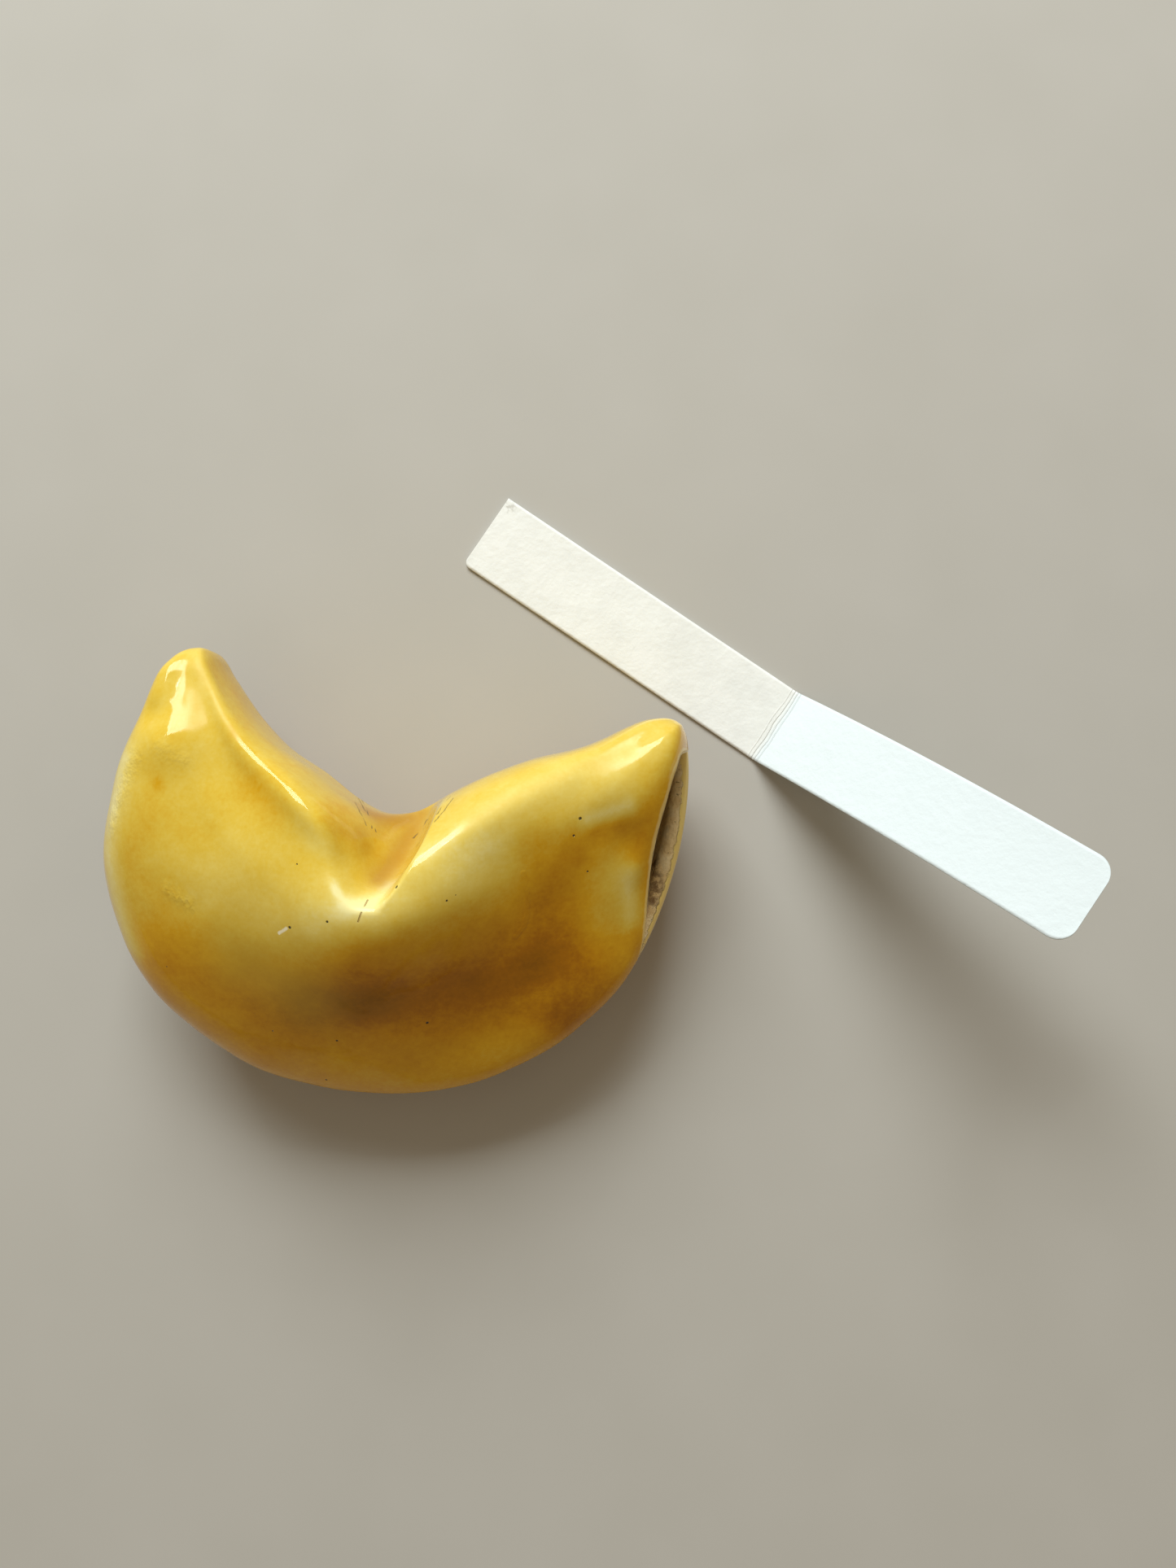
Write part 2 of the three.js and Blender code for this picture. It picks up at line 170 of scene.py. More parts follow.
def catmull(a, b, c, d, f):
    """Smooth curve from b to c, given their neighbours a and d."""
    return 0.5 * (2 * b + (c - a) * f + (2 * a - 5 * b + 4 * c - d) * f ** 2
                  + (3 * b - a - 3 * c + d) * f ** 3)


def smooth(x):
    """0 below 0, 1 above 1, eased between."""
    c = np.clip(x, 0, 1)
    return c * c * (3 - 2 * c)


def rounded(x, half):
    """0 below, x above, rounded over the given half width."""
    return np.where(x >= half, x, np.where(x <= -half, 0, (x + half) ** 2 / (4 * half)))


def on_outline(x):
    """Place on the closed outline after x of its points."""
    n = len(OUTLINE)
    i = np.floor(x).astype(int)
    return catmull(*(OUTLINE[(i + k) % n] for k in (-1, 0, 1, 2)), (x - i)[..., None])


def along(rows, x):
    """Values of evenly spaced rows at x in 0..1; the ends run on straight."""
    rows = np.asarray(rows, float)
    padded = np.concatenate([[2 * rows[0] - rows[1]], rows, [2 * rows[-1] - rows[-2]]])
    n = len(rows) - 1
    y = np.clip(x, 0, 1) * n
    i = np.minimum(np.floor(y).astype(int), n - 1)
    f = (y - i).reshape(y.shape + (1,) * (rows.ndim - 1))
    return catmull(*(padded[i + k] for k in range(4)), f)


def bulge(table, w, t):
    """Value of a table at place w and share t of the way from the fold to the rim."""
    row = along(table, w)
    before = 2 * row[..., :1] - row[..., 1:2]
    after = 2 * row[..., -1:] - row[..., -2:-1]
    padded = np.concatenate([before, row, after], -1)
    n = row.shape[-1] - 1
    y = np.sqrt(np.clip(t, 0, 1)) * n
    i = np.minimum(np.floor(y).astype(int), n - 1)
    picked = (np.take_along_axis(padded, (i + k)[..., None], -1)[..., 0] for k in range(4))
    return catmull(*picked, y - i)


def notch_open(angle):
    """1 where the notch is fully open, at the fold, and 0 beyond it."""
    on_front = np.clip(1 - (1 - np.cos(angle)) / 2 / NOTCH_APEX, 0, None)
    return np.where(angle < 0, smooth(1 + angle / NOTCH_FADE), on_front)


def fanned(r, opened):
    """Place r with the notch spread open."""
    left = NOTCH_FROM - NOTCH_LEFT * opened
    right = NOTCH_TO + NOTCH_RIGHT * opened
    middle = left + (r - NOTCH_FROM) / (NOTCH_TO - NOTCH_FROM) * (right - left)
    after = 1 - (1 - r) / (1 - NOTCH_TO) * (1 - right)
    return np.where(r < NOTCH_FROM, r / NOTCH_FROM * left, np.where(r > NOTCH_TO, after, middle))


def dent_factor(w, opened, dent):
    """What the dent leaves of the front face's height."""
    start, end, left, right, gentle, steep, depth = dent
    low = start - left * opened
    high = end + right * opened
    across = (w - low) / (high - low)
    drop = 1 - (1 - np.clip(rounded((1 - across) / steep, CREST_ROUND), 0, 1)) ** 3
    return 1 - depth * smooth(across / gentle) * drop * opened ** DENT_CURVE


def tip_factor(w):
    """0 at either tip, 1 away from them."""
    into = np.clip(np.minimum(w, 1 - w) / TIP_ROUND, 0, 1)
    return np.sqrt(1 - (1 - into) ** 2)


def skin(r, angle, dent=DENT):
    """The outside at place r and an angle: 0 at the fold, pi at the rim, below 0 on the back."""
    r, angle = np.broadcast_arrays(np.asarray(r, float), np.asarray(angle, float))
    t = (1 - np.cos(angle)) / 2
    opened = notch_open(angle)
    w = fanned(r, opened)
    rim = on_outline(w * SPANS)
    fold = on_outline(2 * SPANS - w * SPANS)
    xy = fold + (rim - fold) * t[..., None]
    mid = along(FOLD_Z, w) * (1 - t) + along(RIM_Z, w) * t
    lift = np.sin(np.abs(angle)) * tip_factor(w)
    back = rounded(mid - lift * bulge(BACK, w, t), FOOT_BLEND)
    front = mid + lift * bulge(FRONT, w, t) * dent_factor(w, opened, dent)
    return np.concatenate([xy, np.where(angle < 0, back, front)[..., None]], -1)


def wrap(angle):
    return (angle + math.pi) % (2 * math.pi) - math.pi


def unit(v):
    return v / np.linalg.norm(v, axis=-1, keepdims=True)


def outward(r, angle, dent):
    """Direction out of the skin."""
    h = SLOPE_STEP
    by_place = skin(r + h, angle, dent) - skin(r - h, angle, dent)
    by_angle = skin(r, wrap(angle + h), dent) - skin(r, wrap(angle - h), dent)
    return unit(np.cross(by_angle, by_place))


def within(r, ends):
    return ends[0] - TINY <= r <= ends[1] + TINY


def mouth_at(r):
    for mouth in MOUTHS:
        if within(r, mouth):
            return mouth
    return None


def reach(r):
    """Angles that the front and back faces reach at place r."""
    mouth = mouth_at(r)
    if not mouth:
        return math.pi, math.pi
    start, end, front, back = mouth
    q = np.array((r - start) / (end - start))
    return tuple(math.pi - max(0.0, float(along(cut, q))) for cut in (front, back))


def ring_places():
    """Places from tip to tip, close together at the tips, the mouth ends and the notch."""
    places = []
    for (here, count), (there, _) in zip(RING_STOPS, RING_STOPS[1:]):
        places += list(np.linspace(here, there, count, endpoint=False))
    return places + [RING_STOPS[-1][0]]


# ---------------------------------------------------------------- cookie: its mesh
class Shell:
    """Vertices and faces of the cookie, gathered ring by ring."""

    def __init__(self):
        self.points = []
        self.faces = []
        self.count = 0

    def add(self, points):
        """New vertices; gives their numbers."""
        points = np.asarray(points, float).reshape(-1, 3)
        self.points.append(points)
        first = self.count
        self.count += len(points)
        return list(range(first, self.count))

    def add_loop(self, points, closed):
        """New vertices in a row; a closed one comes back to its first vertex."""
        if closed:
            ids = self.add(points[:-1])
            return ids + [ids[0]]
        return self.add(points)

    def strip(self, first, second):
        """Faces between two rows, without those that shrink to a line."""
        for k in range(len(first) - 1):
            face = [second[k], second[k + 1], first[k + 1], first[k]]
            face = list(dict.fromkeys(face))
            if len(face) > 2:
                self.faces.append(face)

    def fan(self, loop, tip, flipped):
        """Triangles from a closed row to one vertex."""
        for k in range(len(loop) - 1):
            pair = (loop[k], loop[k + 1]) if flipped else (loop[k + 1], loop[k])
            self.faces.append([*pair, tip])


def lip_points(outer, inner, away, height):
    """A half circle from the outer edge of a lip to the inner one."""
    turn = np.linspace(0, math.pi, LIP_STEPS + 2)[1:-1, None]
    share = (1 - np.cos(turn)) / 2
    return outer + (inner - outer) * share + away * height * np.sin(turn)


def make_ring(shell, r):
    """One cross-section: its rows of vertices outside, inside and over the two lips of a mouth."""
    front, back = reach(r)
    closed = min(front, back) > math.pi - CLOSED_WITHIN
    step = np.arange(FACE_STEPS) / FACE_STEPS
    angles = np.concatenate([front * (1 - step), -back * np.append(step, 1)])
    outer = skin(r, angles)
    ring = {"r": r, "outer": shell.add_loop(outer, closed), "inner": None, "lips": None}
    if not within(r, HOLLOW):
        return ring
    wall = float(along(WALL, np.array(r)))
    inner = skin(r, angles, DENT_INSIDE) - wall * outward(r, angles, DENT_INSIDE)
    ring["inner"] = shell.add_loop(inner, closed)
    if mouth_at(r):
        height = 0 if closed else LIP_BULGE * wall
        front_lip = shell.add(lip_points(outer[0], inner[0], unit(outer[0] - outer[1]), height))
        back_lip = front_lip
        if not closed:
            away = unit(outer[-1] - outer[-2])
            back_lip = shell.add(lip_points(outer[-1], inner[-1], away, height))
        ring["lips"] = (
            [ring["outer"][0], *front_lip, ring["inner"][0]],
            [ring["outer"][-1], *back_lip, ring["inner"][-1]],
        )
    return ring


def close_ends(shell, rings):
    """The two tips of the outside, and the two blunter ends of the hollow."""
    hollow = [ring for ring in rings if ring["inner"]]
    all_points = np.concatenate(shell.points)
    shell.fan(rings[0]["outer"], shell.add(skin(0, 0))[0], True)
    shell.fan(rings[-1]["outer"], shell.add(skin(1, 0))[0], False)
    for ring, towards, flipped in ((hollow[0], 0, False), (hollow[-1], 1, True)):
        centre = all_points[ring["inner"][:-1]].mean(0)
        tip = centre + (skin(towards, 0) - centre) * HOLLOW_POINT
        shell.fan(ring["inner"], shell.add(tip)[0], flipped)


def cookie_shell():
    """The whole skin, its vertices that lie outside, and those on the outer edges of the mouths.

    Each vertex of an edge comes with whether it is on the front face.
    """
    shell = Shell()
    rings = [make_ring(shell, r) for r in ring_places()]
    for a, b in zip(rings, rings[1:]):
        shell.strip(a["outer"], b["outer"])
        if a["inner"] and b["inner"]:
            shell.strip(b["inner"], a["inner"])
        if a["lips"] and b["lips"] and mouth_at(a["r"]) is mouth_at(b["r"]):
            shell.strip(a["lips"][0][::-1], b["lips"][0][::-1])
            shell.strip(a["lips"][1], b["lips"][1])
    close_ends(shell, rings)
    outside = [index for ring in rings for index in ring["outer"]]
    edges = [(lip[0], is_front) for ring in rings if ring["lips"]
             for lip, is_front in zip(ring["lips"], (True, False))]
    return shell, outside, edges


def vertex_normals(points, faces):
    """Area-weighted normals of a mesh of triangles and quads."""
    corners = np.array([face if len(face) == 4 else [*face, face[-1]] for face in faces])
    a, b, c, d = (points[corners[:, k]] for k in range(4))
    is_triangle = corners[:, 2] == corners[:, 3]
    across = np.where(is_triangle[:, None], np.cross(b - a, c - a), np.cross(c - a, d - b))
    normals = np.zeros_like(points)
    for k in range(4):
        np.add.at(normals, corners[:, k], across)
    return normals / np.maximum(np.linalg.norm(normals, axis=1, keepdims=True), TINY)


def mesh_object(name, points, faces, values):
    """A smooth mesh object, in metres, with a number at each vertex for each entry of values."""
    mesh = bpy.data.meshes.new(name)
    mesh.from_pydata([tuple(p) for p in points], [], faces)
    for key, numbers in values.items():
        layer = mesh.attributes.new(key, "FLOAT", "POINT")
        layer.data.foreach_set("value", np.asarray(numbers, np.float32))
    mesh.polygons.foreach_set("use_smooth", [True] * len(mesh.polygons))
    mesh.update()
    made = bpy.data.objects.new(name, mesh)
    bpy.context.scene.collection.objects.link(made)
    return made


# ---------------------------------------------------------------- cookie: what the image shows
# In the tables from SWELLS to PITTED, a row is a line of pixels, a radius in millimetres and an
# amount.
LEFT_RIDGE = [(245, 825), (270, 868), (296, 915), (341, 950), (377, 999), (405, 1040)]
RIGHT_RIDGE = [
    (483, 1090), (505, 1071), (527, 1053), (552, 1034), (577, 1018), (620, 993), (660, 973),
    (700, 955),
]
# Soft bumps (+) and hollows (-), in millimetres.
SWELLS = [
    # left lobe
    ([(184, 877)], 1.8, -0.45),
    ([(202, 914)], 3.5, 0.94),
    ([(330, 920)], 5.0, 0.20),
    ([(205, 1100)], 3.0, -0.08),
    ([(234, 1113)], 2.2, -0.10),
    (LEFT_RIDGE, 1.4, 0.20),
    # in the dent
    ([(440, 1045)], 2.6, 0.30),
    # right lobe
    (RIGHT_RIDGE, 1.6, 0.25),
    ([(783, 1068)], 2.4, 0.35),
    ([(776, 1030)], 2.6, -0.40),
    ([(748, 1010)], 3.4, -0.25),
    ([(745, 1095)], 4.0, 0.32),
]
# Deeper (+, darker) and thinner (-, paler) glaze: partly the glaze's own tone, partly painted shade
# (+) and painted light, reflection and highlights (-).
TONES_AND_PAINTED_LIGHT = [
    # left lobe
    ([(240, 850)], 6, -0.05),
    # painted reflection: a pale band along the left edge
    ([(152, 935), (136, 1010), (138, 1090), (160, 1160)], 2.6, -0.36),
    ([(194, 963)], 0.9, 0.24),
    ([(313, 967)], 3, 0.10),
    ([(398, 1002), (420, 990)], 2.0, 0.10),
    # painted light on this row and the next, on faces that come out too shaded
    ([(372, 1008), (388, 1034)], 1.6, -0.16),
    ([(270, 1100), (370, 1145)], 6, -0.19),
    ([(210, 1185), (290, 1215)], 5, 0.20),
    ([(330, 1270)], 7, 0.12),
    # round the notch
    # painted highlights: two small glints beside the notch
    ([(411, 1088), (415, 1099)], 0.6, -0.35),
    ([(425, 1117), (452, 1110), (480, 1090)], 1.5, -0.26),
    # painted light on a face that comes out too shaded
    ([(390, 1132), (450, 1127)], 3.0, -0.20),
    ([(483, 1088), (520, 1052), (560, 1022)], 1.3, -0.16),
    ([(505, 1005), (545, 985)], 1.6, -0.10),
    # below the notch
    # painted light on this row and the next, below the notch and along the ridge
    ([(500, 1105), (560, 1100), (610, 1060)], 6, -0.20),
    ([(565, 1075), (600, 1042)], 3, -0.16),
    ([(350, 1230), (440, 1240)], 5, 0.14),
    # partly deeper glaze, partly painted shade on the dark middle of the front face
    ([(450, 1228), (590, 1224)], 7.0, 0.30),
    ([(620, 1190), (660, 1165)], 7, 0.08),
    ([(300, 1290), (420, 1325), (560, 1325), (650, 1280)], 4.5, -0.08),
    # right lobe
    ([(700, 960), (620, 985)], 4, -0.08),
    ([(800, 915), (770, 930)], 3, -0.10),
    ([(700, 985), (760, 975)], 4, -0.12),
    ([(722, 1008), (745, 1002), (774, 991)], 1.1, -0.32),
    ([(735, 1022), (765, 1016)], 1.4, 0.18),
    # painted shade where the face curves down towards the mouth
    ([(795, 995), (784, 1048)], 1.8, 0.12),
    ([(658, 1045), (672, 1080), (700, 1052)], 3.2, 0.16),
    # painted light on this row, and a painted highlight of a wrinkle on the next
    ([(752, 1075), (748, 1130)], 3.2, -0.17),
    ([(772, 1075), (777, 1130)], 1.6, -0.34),
    ([(788, 1090), (780, 1160)], 1.4, 0.06),
    ([(660, 1125), (700, 1140)], 4, 0.14),
    # partly deeper glaze, partly painted shade on the lower right flank
    ([(670, 1185), (715, 1200), (690, 1245)], 5, 0.34),
]
# Painted shade, darker and browner, in the recess of the notch.
NOTCH_SHADE = [
    ([(466, 1082), (490, 1054), (505, 1026), (516, 1000)], 2.0, 0.72),
    ([(446, 1040)], 2.2, 0.30),
    ([(460, 1000), (505, 992)], 3.2, 0.80),
]
# Painted reflection: where the glaze is painted greenish grey as a broad sheen.
PAINTED_SHEEN = [
    ([(300, 1185), (345, 1205), (372, 1225)], 6.5, 0.55),
    ([(395, 1215), (460, 1235)], 5.0, 0.12),
]
# Where the glaze is less glossy.
DULLED = [
    ([(592, 1008), (640, 982), (722, 938)], 2.8, 0.55),
    ([(748, 932), (768, 925)], 1.7, 0.40),
    ([(243, 860), (240, 886)], 1.4, 0.40),
    ([(243, 812), (258, 850), (286, 902)], 1.5, 0.40),
    ([(405, 1092), (425, 1112), (455, 1104)], 2.2, 0.45),
]
# Painted shadow on the bare clay under the front lip of the right mouth.
PAINTED_LIP_SHADOW = [
    ([(804, 1060), (808, 1085), (802, 1108)], 1.2, 0.85),
    ([(822, 1000), (815, 1040)], 0.5, 0.35),
]
# Where the glaze is pitted and sparkles.
PITTED = [
    ([(166, 932), (150, 968), (137, 1012)], 1.5, 1.0),
    ([(196, 917), (226, 933)], 0.9, 0.7),
    ([(203, 1092), (234, 1113)], 0.7, 0.8),
]
# Dark specks in the glaze: pixel and radius in millimetres.
SPECKS = [
    ((487, 1090), 0.26), ((549, 1107), 0.17), ((402, 1133), 0.20), ((356, 1140), 0.24),
    ((713, 1006), 0.26), ((705, 1027), 0.20), ((525, 1257), 0.24), ((414, 1279), 0.20),
    ((401, 1327), 0.18), ((335, 1267), 0.13), ((365, 1062), 0.12), ((722, 1071), 0.16),
    ((205, 1188), 0.10), ((560, 1100), 0.08),
]
CRACK = [(452, 1106), (449, 1112), (444, 1122), (440, 1133)]
SCRAPE = [(343, 1147), (352, 1141)]
RAISED_LINE = [(643, 1073), (648, 1098), (648, 1124), (643, 1140), (634, 1151)]
SCRATCHES = [
    [(440, 981), (447, 994), (457, 1018)], [(444, 983), (452, 1000), (462, 1022)],
    [(436, 986), (442, 998), (450, 1014)], [(549, 979), (530, 1006), (512, 1040)],
    [(553, 979), (538, 1000), (522, 1024)], [(543, 984), (524, 1008), (508, 1030)],
    [(557, 981), (546, 996), (534, 1010)],
]
MID_HEIGHT = 0.018  # of the cookie, in metres, for pixels just beside it

# Low waves of a hand-modelled surface: height and size in millimetres, and where the noise starts.
WAVES = [(0.22, 13, (0, 0, 0)), (0.09, 5.5, (7, 3, 1)), (0.022, 2.0, (2, 9, 4))]
FOOT_CALM_FROM, FOOT_CALM_OVER = 0.2, 4  # heights over which the unevenness grows
LIP_CALM, LIP_SHARE = 2.5, 0.3           # distance from a lip over which it grows from this share
# The left tip leans towards the notch, and is blunted, beyond these places along y.
LEAN_FROM, LEAN_OVER, TIP_LEAN = 26, 4, 0.55
BLUNT_FROM, BLUNT_SOFT, TIP_BLUNT = 28.9, 1.0, 0.6
# The glaze is made deeper, so darker and more orange, low down, partly glaze pooled there and
# partly painted shade, and on the sides turned from the window, as painted shade.
GLAZE_DEPTH = 0.42
LOW_BELOW, LOW_OVER, LOW_DEPTH_AND_SHADE = 13, 9, 0.16
TOWARDS_WINDOW = np.array([-0.15, 0.79, 0.59])
PAINTED_SHADE_DEPTH = 0.3
# How far glaze runs over the front and back lips of the mouths, in millimetres.
OVER_FRONT_LIP, OVER_BACK_LIP = 0.5, 1.45


def line_distance(points, places):
    """Distance from each point to a chain of places."""
    best = np.full(len(points), np.inf)
    for a, b in zip(places, places[1:] if len(places) > 1 else places):
        ab = b - a
        share = np.clip((points - a) @ ab / max(ab @ ab, TINY), 0, 1)
        best = np.minimum(best, np.linalg.norm(points - a - share[:, None] * ab, axis=1))
    return best


class Surface:
    """A skin of the cookie, where the image's pixels can be found."""

    def __init__(self, points, faces, shift):
        self.points = points
        self.shift = shift
        self.tree = BVHTree.FromPolygons([tuple(p) for p in points * MM + shift], faces)

    def at(self, pixel):
        """Where the ray through a pixel meets the cookie, or passes close by it, in the frame."""
        ray = pixel_ray(*pixel)
        place = self.tree.ray_cast(CAMERA_PLACE, ray)[0]
        if place is None:
            beside = CAMERA_PLACE + ray * (CAMERA_PLACE.z - MID_HEIGHT) / -ray.z
            place = self.tree.find_nearest(beside)[0]
        return place

    def near(self, pixels, radius):
        """1 on the line through some pixels, falling off over radius millimetres."""
        places = [(np.array(self.at(pixel)) - self.shift) / MM for pixel in pixels]
        return np.exp(-(line_distance(self.points, places) / radius) ** 2)

    def total(self, lines):
        return sum(amount * self.near(pixels, radius) for pixels, radius, amount in lines)

    def strongest(self, lines):
        return np.max([amount * self.near(pixels, radius) for pixels, radius, amount in lines], 0)


def wobble(points):
    """Height of the low waves at each point."""
    waves = [(height, size, Vector(start)) for height, size, start in WAVES]
    return np.array([
        sum(height * noise.noise(Vector(p) / size + start) for height, size, start in waves)
        for p in points
    ])


def edge_distance(points, outside, edges):
    """Signed distance to the mouths' outer edges, negative outside, and the glaze's run there."""
    tree = KDTree(len(edges))
    for k, (index, _) in enumerate(edges):
        tree.insert(points[index], k)
    tree.balance()
    found = [tree.find(p) for p in points]
    distance = np.array([gap for _, _, gap in found])
    distance[outside] = -distance[outside]
    over = np.array([OVER_FRONT_LIP if edges[k][1] else OVER_BACK_LIP for _, k, _ in found])
    return distance, over


def uneven(surface, normals, distance):
    """Points of the skin with its waves, bumps and hollows, which leave foot and lips alone."""
    push = wobble(surface.points) + surface.total(SWELLS)
    push *= smooth((surface.points[:, 2] - FOOT_CALM_FROM) / FOOT_CALM_OVER)
    push *= (LIP_SHARE + (1 - LIP_SHARE) * smooth(-distance / LIP_CALM)) * (distance < 0)
    moved = surface.points + normals * push[:, None]
    moved[:, 2] = np.maximum(moved[:, 2], 0)
    return moved


def reshape_left_tip(points):
    left = points[:, 0] < 0
    y = points[left, 1]
    points[left, 0] += TIP_LEAN * smooth((y - LEAN_FROM) / LEAN_OVER)
    points[left, 1] -= TIP_BLUNT * rounded(y - BLUNT_FROM, BLUNT_SOFT)


def glaze_depth_and_shade(surface, normals):
    low = smooth((LOW_BELOW - surface.points[:, 2]) / LOW_OVER)
    # painted shade on faces turned from the window
    turned = (1 - np.clip(normals @ TOWARDS_WINDOW, 0, 1)) ** 2
    return GLAZE_DEPTH + surface.total(TONES_AND_PAINTED_LIGHT) + LOW_DEPTH_AND_SHADE * low + PAINTED_SHADE_DEPTH * turned


def into_frame(points):
    """What brings the cookie's own places, once in metres, onto the CAD node."""
    low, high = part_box("cookie")
    middle = np.array([(low.x + high.x) / 2, (low.y + high.y) / 2, 0])
    own = (points.min(0) + points.max(0)) / 2 * MM
    return middle - np.array([own[0], own[1], 0])


def make_cookie():
    """The cookie, its finished surface, and what brings millimetres into the frame."""
    shell, outside, edges = cookie_shell()
    points = np.concatenate(shell.points)
    shift = into_frame(points)
    normals = vertex_normals(points, shell.faces)
    surface = Surface(points, shell.faces, shift)
    distance, over = edge_distance(points, outside, edges)
    moved = uneven(surface, normals, distance)
    reshape_left_tip(moved)
    values = {
        # the depth holds painted shade and painted light as well as the glaze's own depth
        "depth": glaze_depth_and_shade(surface, normals),
        "edge": distance,
        "over": over,
        "notch_shade": surface.strongest(NOTCH_SHADE),
        "painted_sheen": surface.strongest(PAINTED_SHEEN),
        "dull": surface.strongest(DULLED),
        "pitted": surface.strongest(PITTED),
        "lip_shadow": surface.strongest(PAINTED_LIP_SHADOW),
    }
    cookie = mesh_object("cookie_glazed", moved * MM + shift, shell.faces, values)
    return cookie, Surface(moved, shell.faces, shift), shift


# ---------------------------------------------------------------- slip
SLIP_LENGTH = 106
SLIP_WIDTH = 12.2
SLIP_THICK = 0.35
SLIP_FLAT = 53.1                     # length up to the crease
SLIP_STEEP = math.radians(46)        # slope just past the crease
SLIP_SHALLOW = math.radians(28)      # slope at the far end
CREASE_HALF = 1.2
FAR_CORNER = 2.6
NEAR_CORNER = 1.1
SLIP_FROM = np.array([10.6, 50.2])   # middle of the near end
SLIP_TURN = math.radians(-34.1)
SLIP_BEND = math.radians(-2.3)       # how far the raised half turns aside
# Waves and grain of the paper: their height, and their noise's size along, size across and level.
WAVE_HEIGHT, WAVE_NOISE = 0.08, (17, 9, 4.2)
GRAIN_HEIGHT, GRAIN_NOISE = 0.014, (0.9, 0.9, 1.7)
CREASE_SHARE, CREASE_CALM = 0.4, 6   # both shrink to this share, over this distance
SLIP_CUP, CUP_OVER = 0.15, 20        # the raised half's middle sinks this deep, over this length
LEAST_RISE = 0.9                     # share of the thickness that the top keeps over the floor
SLIP_COLUMNS = 28
CORNER_ROWS, FLAT_ROWS, CREASE_ROWS, RAISED_ROWS = 12, 150, 60, 140
CREASE_ZONE = 4                      # rows are closest this near to the crease


def creased(s):
    """Forward place and height of the strip's underside at arc length s, with a sharp crease."""
    bend = (SLIP_SHALLOW - SLIP_STEEP) / (SLIP_LENGTH - SLIP_FLAT)
    slope = SLIP_STEEP + bend * np.maximum(s - SLIP_FLAT, 0)
    forward = np.minimum(s, SLIP_FLAT) + (np.sin(slope) - math.sin(SLIP_STEEP)) / bend
    return np.stack([forward, (math.cos(SLIP_STEEP) - np.cos(slope)) / bend], -1)


def slip_profile(s):
    """The same with the crease rounded, and the slope."""
    f = np.clip((s - SLIP_FLAT + CREASE_HALF) / (2 * CREASE_HALF), 0, 1)[:, None]
    start, fold, end = creased(SLIP_FLAT + CREASE_HALF * np.array([-1, 0, 1]))
    curve = (1 - f) ** 2 * start + 2 * f * (1 - f) * fold + f ** 2 * end
    path = np.where((f > 0) & (f < 1), curve, creased(s))
    forward, height = path[:, 0], path[:, 1]
    return forward, height, np.arctan2(np.gradient(height, s), np.gradient(forward, s))


def corner_cut(into, radius):
    """What a rounded corner takes off the side, this far into it."""
    return radius - np.sqrt(radius ** 2 - np.clip(into, 0, radius) ** 2)


def slip_rows():
    """Arc lengths from end to end, closest at the crease and the corners."""
    quarter = np.linspace(0, math.pi / 2, CORNER_ROWS)
    near = NEAR_CORNER * (1 - np.cos(quarter))
    far = SLIP_LENGTH - FAR_CORNER * (1 - np.sin(quarter))
    before, after = SLIP_FLAT - CREASE_ZONE, SLIP_FLAT + CREASE_ZONE
    flat = np.linspace(NEAR_CORNER, before, FLAT_ROWS)[1:-1]
    crease = np.linspace(before, after, CREASE_ROWS, endpoint=False)
    raised = np.linspace(after, SLIP_LENGTH - FAR_CORNER, RAISED_ROWS, endpoint=False)
    return np.concatenate([near, flat, crease, raised, far])


def paper_noise(s, across, size_along, size_across, level):
    """Noise over the strip, from -1 to 1."""
    return np.array([
        [noise.noise(Vector((here / size_along, side / size_across, level))) for side in row]
        for here, row in zip(s, across)
    ])


def slip_relief(s, across, share):
    """How far the paper stands off its own smooth path."""
    waves = WAVE_HEIGHT * (1 + paper_noise(s, across, *WAVE_NOISE))
    grain = GRAIN_HEIGHT * paper_noise(s, across, *GRAIN_NOISE)
    from_crease = np.abs(s - SLIP_FLAT)
    calm = CREASE_SHARE + (1 - CREASE_SHARE) * np.minimum(1, from_crease / CREASE_CALM)
    relief = (waves + grain) * calm[:, None]
    cup = SLIP_CUP * (1 - (2 * share - 1) ** 2) * smooth((s - SLIP_FLAT) / CUP_OVER)[:, None]
    return relief - cup


def heading(angle):
    return np.array([math.cos(angle), math.sin(angle)])


def slip_faces(rows, columns):
    """Faces of the top, of the underside, whose vertices come after it, and of the four edges."""
    top = np.arange(rows * columns).reshape(rows, columns)
    low = top + rows * columns
    faces = []
    for i in range(rows - 1):
        for j in range(columns - 1):
            faces.append([top[i, j], top[i + 1, j], top[i + 1, j + 1], top[i, j + 1]])
            faces.append([low[i, j], low[i, j + 1], low[i + 1, j + 1], low[i + 1, j]])
        faces.append([top[i, 0], low[i, 0], low[i + 1, 0], top[i + 1, 0]])
        faces.append([top[i, -1], top[i + 1, -1], low[i + 1, -1], low[i, -1]])
    for j in range(columns - 1):
        faces.append([top[0, j], top[0, j + 1], low[0, j + 1], low[0, j]])
        faces.append([top[-1, j], low[-1, j], low[-1, j + 1], top[-1, j + 1]])
    return [[int(k) for k in face] for face in faces]


